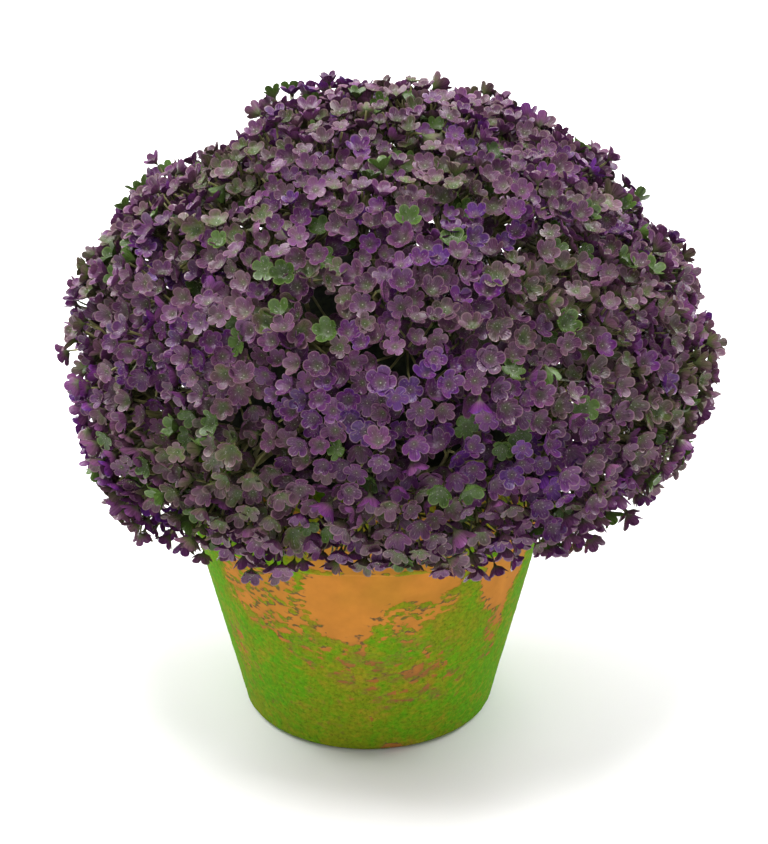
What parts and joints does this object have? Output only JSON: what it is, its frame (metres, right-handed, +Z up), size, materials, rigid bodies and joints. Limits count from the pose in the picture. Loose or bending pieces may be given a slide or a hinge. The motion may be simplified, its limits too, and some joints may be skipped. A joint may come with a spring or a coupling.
{
  "type": "artificial potted verbena",
  "caption": "Ball of small mauve plastic verbena florets on moulded stems, standing in a foam core in a mossy terracotta pot.",
  "frame": {"origin": "centre of the flat underside of the pot", "axes": "+Z up along the pot's axis, +Y away from the side that the picture shows, +X to the right in the picture"},
  "size_m": [0.2737, 0.2747, 0.28],
  "materials": {
    "terracotta": "matt fired clay overgrown with yellow-green moss",
    "foam": "dull dark green rigid foam",
    "stem": "satin dark olive moulded plastic",
    "petal": "satin mauve, violet and grey-green moulded plastic with paler rims"
  },
  "bodies": {
    "root": {"pot": "terracotta", "foam_core": "foam", "stems_01": "stem", "florets_01": "petal", "stems_02": "stem", "florets_02": "petal", "stems_03": "stem", "florets_03": "petal", "stems_04": "stem", "florets_04": "petal", "stems_05": "stem", "florets_05": "petal", "stems_06": "stem", "florets_06": "petal", "stems_07": "stem", "florets_07": "petal", "stems_08": "stem", "florets_08": "petal", "stems_09": "stem", "florets_09": "petal", "stems_10": "stem", "florets_10": "petal", "stems_11": "stem", "florets_11": "petal", "stems_12": "stem", "florets_12": "petal", "stems_13": "stem", "florets_13": "petal", "stems_14": "stem", "florets_14": "petal", "stems_15": "stem", "florets_15": "petal", "stems_16": "stem", "florets_16": "petal", "stems_17": "stem", "florets_17": "petal", "stems_18": "stem", "florets_18": "petal", "stems_19": "stem", "florets_19": "petal", "stems_20": "stem", "florets_20": "petal", "stems_21": "stem", "florets_21": "petal", "stems_22": "stem", "florets_22": "petal", "stems_23": "stem", "florets_23": "petal", "stems_24": "stem", "florets_24": "petal", "stems_25": "stem", "florets_25": "petal", "stems_26": "stem", "florets_26": "petal", "stems_27": "stem", "florets_27": "petal", "stems_28": "stem", "florets_28": "petal"}
  },
  "joints": []
}
